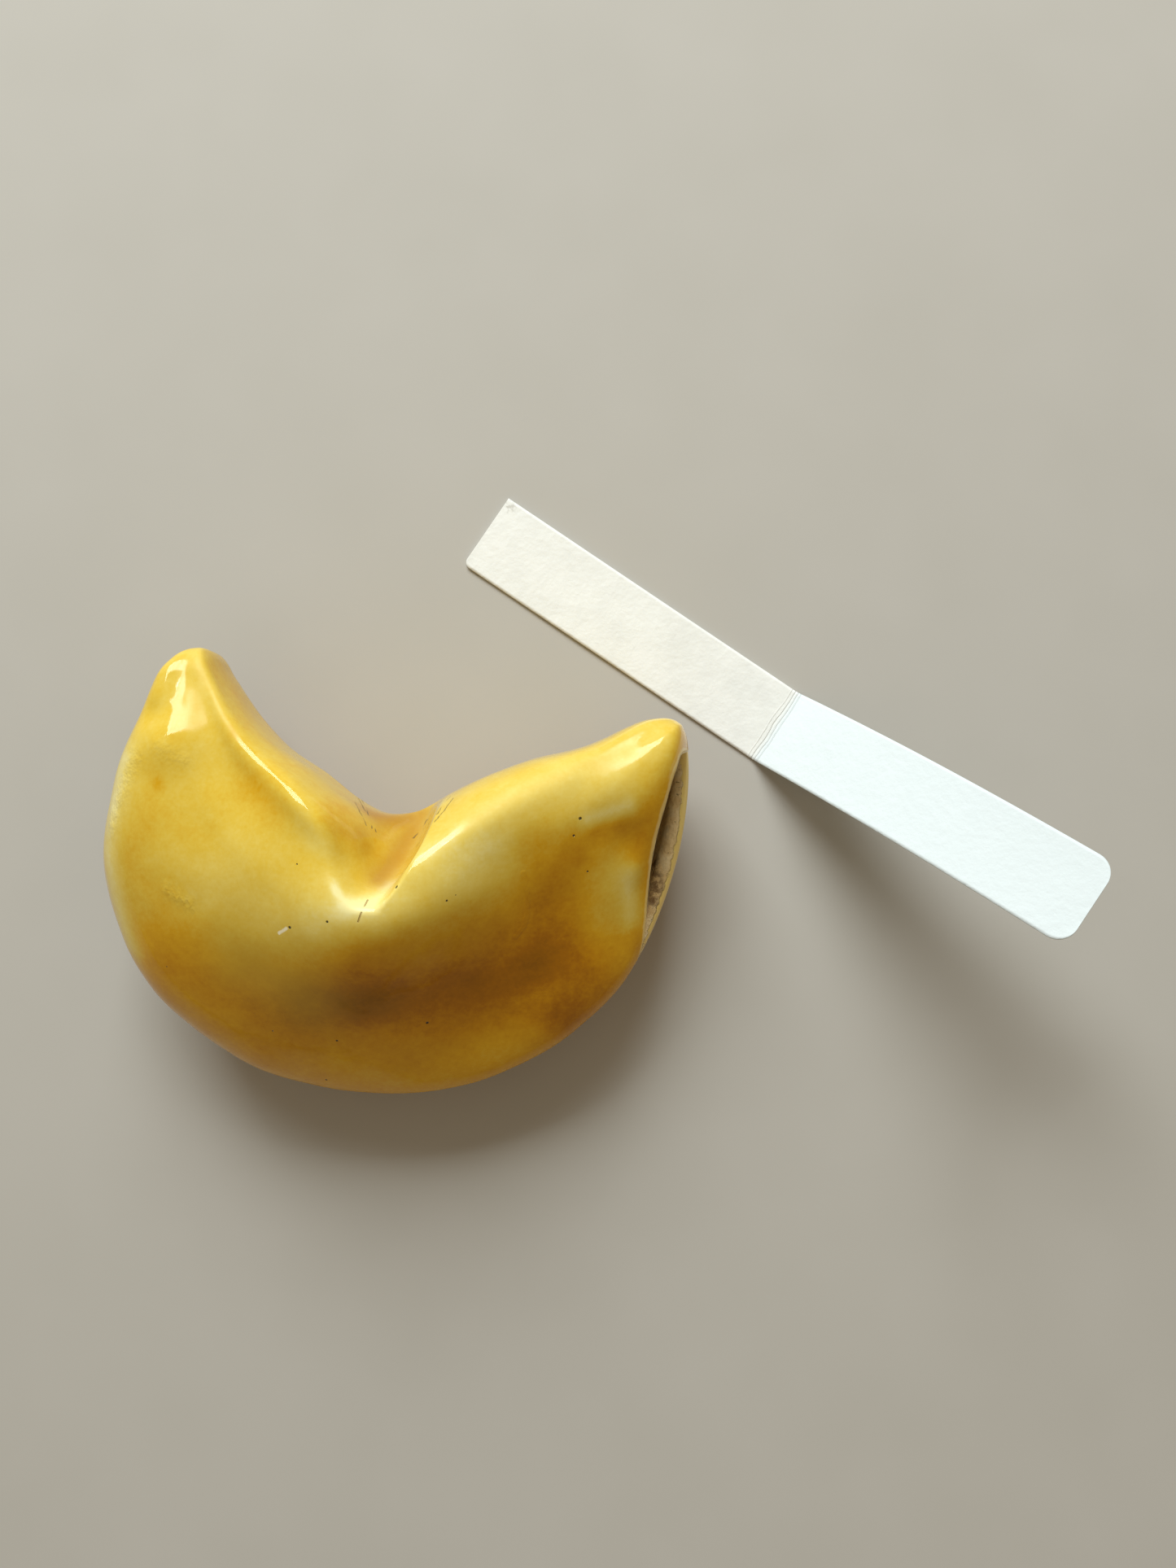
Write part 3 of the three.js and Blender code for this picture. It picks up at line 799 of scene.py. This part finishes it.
def make_slip(shift):
    s = slip_rows()
    forward, height, slope = (column[:, None] for column in slip_profile(s))
    share = np.linspace(0, 1, SLIP_COLUMNS + 1)
    far = corner_cut(s - (SLIP_LENGTH - FAR_CORNER), FAR_CORNER)
    near = corner_cut(NEAR_CORNER - s, NEAR_CORNER)
    low = far + near - SLIP_WIDTH / 2
    high = SLIP_WIDTH / 2 - far
    across = low[:, None] + (high - low)[:, None] * share
    relief = slip_relief(s, across, share)
    way = heading(SLIP_TURN)
    raised_way = heading(SLIP_TURN + SLIP_BEND)
    sideways = np.array([-way[1], way[0]])
    layers = []
    for up in (SLIP_THICK, 0.0):
        rise = up + relief
        ahead = forward - rise * np.sin(slope)
        flat = np.minimum(ahead, SLIP_FLAT)
        xy = (SLIP_FROM + flat[..., None] * way + (ahead - flat)[..., None] * raised_way
              + across[..., None] * sideways)
        z = np.maximum(height + rise * np.cos(slope), up * LEAST_RISE)
        layers.append(np.concatenate([xy, z[..., None]], -1).reshape(-1, 3))
    rows, columns = across.shape
    values = {"along": np.tile(np.repeat(s, columns), 2), "across": np.tile(across.reshape(-1), 2)}
    points = np.concatenate(layers) * MM + shift
    return mesh_object("slip_paper_strip", points, slip_faces(rows, columns), values)


# ---------------------------------------------------------------- material nodes
WANDER_SCALE = 1400      # of the noise that bends drawn lines, in waves a metre
LINE_CORE = 0.35         # share of a line's width, and of a speck's radius, at full strength
SPECK_CORE = 0.55


def srgb(r, g, b):
    """A shader colour from 0..255 display values."""
    def linear(v):
        v /= 255
        return v / 12.92 if v <= 0.04045 else ((v + 0.055) / 1.055) ** 2.4
    return (linear(r), linear(g), linear(b), 1.0)


class Nodes:
    """Short ways to build a shader."""

    def __init__(self, name):
        self.material = bpy.data.materials.new(name)
        self.material.use_nodes = True
        self.tree = self.material.node_tree
        self.tree.nodes.clear()
        self.shader = self.new("ShaderNodeBsdfPrincipled")
        output = self.new("ShaderNodeOutputMaterial")
        self.tree.links.new(self.shader.outputs[0], output.inputs[0])
        self.place = self.new("ShaderNodeTexCoord").outputs["Object"]

    def new(self, kind, **settings):
        made = self.tree.nodes.new(kind)
        for key, value in settings.items():
            setattr(made, key, value)
        return made

    def put(self, socket, value):
        if isinstance(value, bpy.types.NodeSocket):
            self.tree.links.new(value, socket)
        else:
            socket.default_value = value

    def set(self, **inputs):
        """Sets inputs of the shader; an underscore in a name stands for a space."""
        for name, value in inputs.items():
            self.put(self.shader.inputs[name.replace("_", " ")], value)

    def math(self, operation, a, b=0.0, c=0.0, clamp=False):
        made = self.new("ShaderNodeMath", operation=operation, use_clamp=clamp)
        for socket, value in zip(made.inputs, (a, b, c)):
            self.put(socket, value)
        return made.outputs[0]

    def vector(self, operation, a, b):
        """A vector operation; SCALE takes a number as b."""
        made = self.new("ShaderNodeVectorMath", operation=operation)
        self.put(made.inputs[0], a)
        self.put(made.inputs["Scale" if operation == "SCALE" else 1], b)
        return made.outputs["Value" if operation in ("DISTANCE", "DOT_PRODUCT") else "Vector"]

    def ramp(self, value, low, high, to_low=0.0, to_high=1.0):
        """value from low..high to to_low..to_high, eased and clamped."""
        made = self.new("ShaderNodeMapRange", interpolation_type="SMOOTHSTEP")
        for socket, number in zip(made.inputs, (value, low, high, to_low, to_high)):
            self.put(socket, number)
        return made.outputs[0]

    def noise(self, size, detail, roughness):
        """Noise with waves of about this size in metres."""
        made = self.new("ShaderNodeTexNoise")
        self.put(made.inputs["Vector"], self.place)
        made.inputs["Scale"].default_value = 1 / size
        made.inputs["Detail"].default_value = detail
        made.inputs["Roughness"].default_value = roughness
        return made.outputs[0]

    def waver(self, value, weight, size, detail, roughness):
        """value with noise on it, up and down by half the weight."""
        centred = self.math("SUBTRACT", self.noise(size, detail, roughness), 0.5)
        return self.math("MULTIPLY_ADD", centred, weight, value)

    def attribute(self, name):
        return self.new("ShaderNodeAttribute", attribute_name=name).outputs["Fac"]

    def mix(self, factor, a, b):
        made = self.new("ShaderNodeMix", data_type="RGBA")
        self.put(made.inputs[0], factor)
        self.put(made.inputs[6], a)
        self.put(made.inputs[7], b)
        return made.outputs[2]

    def tint(self, colour, mask, weight, other):
        """colour turned to the other one where the mask is 1, by the weight."""
        return self.mix(self.math("MULTIPLY", mask, weight), colour, other)

    def colours(self, value, stops):
        """A colour ramp through stops of display colours."""
        made = self.new("ShaderNodeValToRGB")
        elements = made.color_ramp.elements
        while len(elements) < len(stops):
            elements.new(0.5)
        for element, (position, colour) in zip(elements, stops):
            element.position = position
            element.color = srgb(*colour)
        self.put(made.inputs[0], value)
        return made.outputs[0]

    def bump(self, height, distance, normal=None, strength=1.0):
        made = self.new("ShaderNodeBump")
        made.inputs["Strength"].default_value = strength
        made.inputs["Distance"].default_value = distance
        self.put(made.inputs["Height"], height)
        if normal:
            self.put(made.inputs["Normal"], normal)
        return made.outputs[0]

    def most(self, values):
        out = values[0]
        for value in values[1:]:
            out = self.math("MAXIMUM", out, value)
        return out

    def near_point(self, point, radius):
        """1 at a point, 0 from radius on."""
        gap = self.vector("DISTANCE", self.place, tuple(point))
        return self.ramp(gap, radius * SPECK_CORE, radius, 1.0, 0.0)

    def near_line(self, a, b, width, wander):
        """1 on the line between two points, which wanders a little, and 0 from width on."""
        ab = b - a
        offset = self.new("ShaderNodeTexNoise")
        self.put(offset.inputs["Vector"], self.place)
        offset.inputs["Scale"].default_value = WANDER_SCALE
        centred = self.vector("SUBTRACT", offset.outputs["Color"], (0.5, 0.5, 0.5))
        place = self.vector("ADD", self.place, self.vector("SCALE", centred, wander))
        from_a = self.vector("SUBTRACT", place, tuple(a))
        along_ab = self.vector("DOT_PRODUCT", from_a, tuple(ab))
        share = self.math("DIVIDE", along_ab, ab.length_squared, clamp=True)
        gap = self.vector("DISTANCE", from_a, self.vector("SCALE", tuple(ab), share))
        return self.ramp(gap, width * LINE_CORE, width, 1.0, 0.0)

    def drawn(self, surface, lines, width, wander):
        """1 on the lines through pixels of the image, 0 from width on."""
        pairs = []
        for pixels in lines:
            places = [surface.at(pixel) for pixel in pixels]
            pairs += zip(places, places[1:])
        return self.most([self.near_line(a, b, width, wander) for a, b in pairs])


# ---------------------------------------------------------------- glaze and clay
# A noise is its size in metres, detail and roughness; with a weight first, it wavers a value.
# Distances from the edge of the glaze are in millimetres.
DEPTH_NOISES = [(0.30, 0.006, 3, 0.55), (0.20, 0.0011, 3, 0.6), (0.12, 0.00045, 1, 0.5)]
DEPTH_TO_COLOUR = 0.8
GLAZE_COLOURS = [
    (0.0, (234, 222, 154)),
    (0.20, (224, 200, 100)),
    (0.36, (217, 184, 66)),
    (0.52, (209, 159, 22)),
    (0.68, (191, 133, 4)),
    (0.80, (166, 106, 1)),
    (1.0, (128, 80, 0)),
]
NOTCH_SHADE_COLOUR = srgb(166, 112, 26)
PAINTED_SHEEN_COLOUR = srgb(168, 140, 52)
THIN_NOISE = (0.9, 0.002, 2, 0.6)
THIN_FROM, THIN_TO, THIN_WEIGHT, THIN_GLAZE = -0.6, -0.1, 0.6, srgb(238, 220, 150)
GLAZE_END_NOISE = (1.3, 0.0016, 3, 0.65)
GLAZE_END_HALF = 0.12
CLAY_NOISE = (0.0022, 4, 0.7)
# Bare clay, lightened beyond its own tan as painted light, since the front lip shades it.
CLAY_AND_PAINTED_LIGHT_COLOURS = [
    (0.30, (218, 184, 126)),
    (0.50, (240, 214, 160)),
    (0.66, (246, 226, 180)),
    (0.80, (250, 236, 198)),
]
CRUMB_NOISE, CRUMB_RANGE = (0.0007, 2, 0.6), (0.64, 0.72)
CRUMB_WEIGHT, CRUMB = 0.6, srgb(88, 62, 34)
# painted shadow under the front lip: its blotches and colour
LIP_SHADOW_NOISE, LIP_SHADOW_RANGE = (0.0011, 3, 0.6), (0.38, 0.56)
LIP_SHADOW_COLOUR = srgb(104, 66, 28)
# Marks drawn on the glaze: lines, width and wander in metres, weight and colour.
MARKS = {
    "scratches": (SCRATCHES, 0.00016, 0.0003, 0.7, srgb(88, 74, 46)),
    "scrape": ([SCRAPE], 0.0003, 0.0002, 0.8, srgb(246, 240, 214)),
    "raised": ([RAISED_LINE], 0.0005, 0.0004, 0.06, srgb(176, 116, 14)),
    "crack": ([CRACK], 0.00014, 0.0001, 0.6, srgb(132, 84, 26)),
}
SPECK_WEIGHT, SPECK = 0.9, srgb(34, 30, 26)
GLOSS_NOISE, GLOSS_RANGE = (0.004, 2, 0.5), (0.35, 0.75)
GLOSS_ROUGHNESS = (0.06, 0.13)
CLAY_ROUGHNESS = 0.9
SCRATCH_ROUGHNESS = 0.3
GLAZE_SPECULAR, GLAZE_IOR = 0.34, 1.5
GLAZE_REFLECTION = srgb(255, 251, 232)
# Reliefs: a noise, where there is one, and the height in metres.
SKIN_NOISE, SKIN_RELIEF = (0.0021, 2, 0.45), 0.00002
MARK_RELIEF, RAISED_SHARE = 0.00008, 0.4
PIT_NOISE, PIT_RELIEF = (0.0012, 2, 0.6), 0.00022
CLAY_GRAIN, CLAY_RELIEF = (0.0009, 5, 0.7), 0.0005


def glaze_colour(n, edge):
    """By depth with painted shade, a painted sheen in places, and thin over the mouths' outer
    edges.
    """
    depth = n.attribute("depth")
    for spec in DEPTH_NOISES:
        depth = n.waver(depth, *spec)
    colour = n.colours(n.math("MULTIPLY", depth, DEPTH_TO_COLOUR), GLAZE_COLOURS)
    # painted shade in the notch, then a painted greenish sheen
    colour = n.mix(n.attribute("notch_shade"), colour, NOTCH_SHADE_COLOUR)
    colour = n.mix(n.attribute("painted_sheen"), colour, PAINTED_SHEEN_COLOUR)
    thin = n.ramp(n.waver(edge, *THIN_NOISE), THIN_FROM, THIN_TO)
    return n.tint(colour, thin, THIN_WEIGHT, THIN_GLAZE)


def clay_colour(n):
    """Bare clay, lightened as painted light, with dark crumbs and painted shadow under the front
    lip.
    """
    colour = n.colours(n.noise(*CLAY_NOISE), CLAY_AND_PAINTED_LIGHT_COLOURS)
    crumbs = n.ramp(n.noise(*CRUMB_NOISE), *CRUMB_RANGE)
    colour = n.tint(colour, crumbs, CRUMB_WEIGHT, CRUMB)
    # painted shadow under the front lip
    shadow_blotches = n.ramp(n.noise(*LIP_SHADOW_NOISE), *LIP_SHADOW_RANGE)
    return n.tint(colour, shadow_blotches, n.attribute("lip_shadow"), LIP_SHADOW_COLOUR)


def glaze_relief(n, clay, marks, specks):
    """Soft waves, then marks, pits where the glaze is pitted, and the grain of the clay."""
    normal = n.bump(n.noise(*SKIN_NOISE), SKIN_RELIEF)
    raised = n.math("MULTIPLY", marks["raised"], RAISED_SHARE)
    marked = n.math("SUBTRACT", raised, n.math("ADD", specks, marks["crack"]))
    normal = n.bump(marked, MARK_RELIEF, normal)
    pits = n.math("MULTIPLY", n.noise(*PIT_NOISE), n.attribute("pitted"))
    normal = n.bump(pits, PIT_RELIEF, normal)
    grain = n.math("MULTIPLY", n.noise(*CLAY_GRAIN), clay)
    return n.bump(grain, CLAY_RELIEF, normal)


def glaze_material(surface):
    """Glaze up to a ragged line over the lips of the mouths, and bare clay beyond it."""
    n = Nodes("glaze")
    edge = n.attribute("edge")
    beyond = n.math("SUBTRACT", n.waver(edge, *GLAZE_END_NOISE), n.attribute("over"))
    clay = n.ramp(beyond, -GLAZE_END_HALF, GLAZE_END_HALF)
    colour = n.mix(clay, glaze_colour(n, edge), clay_colour(n))
    marks = {}
    for name, (lines, width, wander, weight, mark_colour) in MARKS.items():
        marks[name] = n.drawn(surface, lines, width, wander)
        colour = n.tint(colour, marks[name], weight, mark_colour)
    specks = n.most([n.near_point(surface.at(pixel), radius * MM) for pixel, radius in SPECKS])
    gloss = n.ramp(n.noise(*GLOSS_NOISE), *GLOSS_RANGE, *GLOSS_ROUGHNESS)
    rough = n.math("MULTIPLY_ADD", clay, n.math("SUBTRACT", CLAY_ROUGHNESS, gloss), gloss)
    rough = n.math("ADD", rough, n.attribute("dull"))
    n.set(
        Base_Color=n.tint(colour, specks, SPECK_WEIGHT, SPECK),
        Roughness=n.math("MULTIPLY_ADD", marks["scratches"], SCRATCH_ROUGHNESS, rough),
        IOR=GLAZE_IOR,
        Specular_IOR_Level=GLAZE_SPECULAR,
        Specular_Tint=GLAZE_REFLECTION,
        Normal=glaze_relief(n, clay, marks, specks),
    )
    return n.material


# ---------------------------------------------------------------- paper and floor
PAPER_NOISE = (0.006, 3, 0.6)
PAPER_COLOURS = [
    (0.3, (232, 234, 230)),
    (0.55, (238, 240, 236)),
    (0.8, (243, 245, 242)),
]
# Fine creases beside the fold: their waver, how near they are to it in millimetres, their spacing
# in radians a millimetre and the range of the sine that shows.
CREASE_NOISE = (0.8, 0.004, 2, 0.5)
CREASE_REACH, CREASE_TURNS, CREASE_RANGE = (0.6, 1.7), 9.0, (0.3, 0.95)
# Painted shade in the fine creases, which also have a bump of their own.
CREASE_SHADE_WEIGHT, CREASE_SHADE_COLOUR = 0.3, srgb(196, 192, 180)
# Painted light: the raised half is painted cooler and a little darker.
RAISED_BLEND, RAISED_PAINTED_LIGHT_WEIGHT, RAISED_HALF_PAINTED_LIGHT = 1, 0.8, srgb(214, 226, 230)
# A smudge in one corner: its place along and across, and its reach as a squared distance.
SMUDGE_ALONG, SMUDGE_ACROSS, SMUDGE_REACH = 0.9, 5.1, (0.1, 1.6)
SMUDGE_NOISE, SMUDGE_RANGE = (0.0006, 2, 0.5), (0.45, 0.65)
SMUDGE_WEIGHT, SMUDGE = 0.4, srgb(150, 142, 124)
PAPER_ROUGHNESS, PAPER_SPECULAR = 0.88, 0.2
TOOTH_NOISE, TOOTH_RELIEF, TOOTH_STRENGTH = (0.0011, 4, 0.6), 0.00012, 0.8
CREASE_RELIEF = 0.0001
FLOOR_NOISE = (0.02, 2, 0.5)
FLOOR_DARK, FLOOR_LIGHT = srgb(180, 177, 169), srgb(186, 183, 176)
FLOOR_ROUGHNESS, FLOOR_SPECULAR = 0.9, 0.1
FLOOR_HALF = 3.0
FLOOR_DROP = 0.00002


def paper_creases(n, along_strip):
    """1 on the fine creases beside the fold."""
    place = n.waver(along_strip, *CREASE_NOISE)
    from_fold = n.math("ABSOLUTE", n.math("SUBTRACT", place, SLIP_FLAT))
    lines = n.math("SINE", n.math("MULTIPLY", place, CREASE_TURNS))
    beside = n.ramp(from_fold, *CREASE_REACH, 1.0, 0.0)
    return n.math("MULTIPLY", beside, n.ramp(lines, *CREASE_RANGE))


def paper_smudge(n, along_strip):
    """1 in the middle of the smudge."""
    ahead = n.math("POWER", n.math("SUBTRACT", along_strip, SMUDGE_ALONG), 2.0)
    aside = n.math("POWER", n.math("SUBTRACT", n.attribute("across"), SMUDGE_ACROSS), 2.0)
    spot = n.ramp(n.math("ADD", ahead, aside), *SMUDGE_REACH, 1.0, 0.0)
    return n.math("MULTIPLY", spot, n.ramp(n.noise(*SMUDGE_NOISE), *SMUDGE_RANGE))


def paper_material():
    """Matt white paper, with painted light making it bluer and darker where it rises past the fold.
    """
    n = Nodes("slip_paper")
    along_strip = n.attribute("along")
    creases = paper_creases(n, along_strip)
    raised = n.ramp(along_strip, SLIP_FLAT - RAISED_BLEND, SLIP_FLAT + RAISED_BLEND)
    colour = n.colours(n.noise(*PAPER_NOISE), PAPER_COLOURS)
    # painted shade in the fine creases
    colour = n.tint(colour, creases, CREASE_SHADE_WEIGHT, CREASE_SHADE_COLOUR)
    # painted light on the raised half
    colour = n.tint(colour, raised, RAISED_PAINTED_LIGHT_WEIGHT, RAISED_HALF_PAINTED_LIGHT)
    tooth = n.bump(n.noise(*TOOTH_NOISE), TOOTH_RELIEF, strength=TOOTH_STRENGTH)
    n.set(
        Base_Color=n.tint(colour, paper_smudge(n, along_strip), SMUDGE_WEIGHT, SMUDGE),
        Roughness=PAPER_ROUGHNESS,
        Specular_IOR_Level=PAPER_SPECULAR,
        Normal=n.bump(creases, CREASE_RELIEF, tooth),
    )
    return n.material


def floor_material():
    n = Nodes("floor")
    n.set(
        Base_Color=n.mix(n.noise(*FLOOR_NOISE), FLOOR_DARK, FLOOR_LIGHT),
        Roughness=FLOOR_ROUGHNESS,
        Specular_IOR_Level=FLOOR_SPECULAR,
    )
    return n.material


def make_floor():
    signs = [(-1, -1), (1, -1), (1, 1), (-1, 1)]
    corners = [(x * FLOOR_HALF, y * FLOOR_HALF, -FLOOR_DROP) for x, y in signs]
    floor = mesh_object("floor", corners, [[0, 1, 2, 3]], {})
    floor.data.materials.append(floor_material())


# ---------------------------------------------------------------- lights
WINDOW_AZIMUTHS = {"window_left": 112, "window_right": 90}
WINDOW_ELEVATION = 36
WINDOW_DISTANCE = 0.9
WINDOW_WIDTH, WINDOW_HEIGHT = 0.28, 0.46
WINDOW_WATTS = 5.2
WINDOW_COLOUR = (0.92, 0.98, 1.0)
LIT_PLACE = Vector((-0.02, 0, 0.01))
ROOM_COLOUR = (1.0, 0.83, 0.60, 1.0)
ROOM_STRENGTH = 0.34


def make_window(name, azimuth):
    """One half of the window, facing the cookie."""
    a, e = math.radians(azimuth), math.radians(WINDOW_ELEVATION)
    direction = Vector((math.cos(a) * math.cos(e), math.sin(a) * math.cos(e), math.sin(e)))
    data = bpy.data.lights.new(name, "AREA")
    data.shape = "RECTANGLE"
    data.size, data.size_y = WINDOW_WIDTH, WINDOW_HEIGHT
    data.energy = WINDOW_WATTS
    data.color = WINDOW_COLOUR
    window = bpy.data.objects.new(name, data)
    window.location = LIT_PLACE + direction * WINDOW_DISTANCE
    window.rotation_mode = "QUATERNION"
    window.rotation_quaternion = direction.to_track_quat("Z", "Y")
    bpy.context.scene.collection.objects.link(window)


def make_lights():
    for name, azimuth in WINDOW_AZIMUTHS.items():
        make_window(name, azimuth)
    world = bpy.data.worlds.new("room")
    world.use_nodes = True
    background = world.node_tree.nodes["Background"]
    background.inputs["Color"].default_value = ROOM_COLOUR
    background.inputs["Strength"].default_value = ROOM_STRENGTH
    bpy.context.scene.world = world


# ---------------------------------------------------------------- scene
make_camera()
cookie, cookie_surface, frame_shift = make_cookie()
cookie.data.materials.append(glaze_material(cookie_surface))
slip = make_slip(frame_shift)
slip.data.materials.append(paper_material())
for piece, node, slot in ((cookie, "cookie", "glaze"), (slip, "slip", "slip_paper")):
    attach(piece, "root")
    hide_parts(node)
make_floor()
make_lights()
bpy.context.scene.view_settings.view_transform = "Standard"
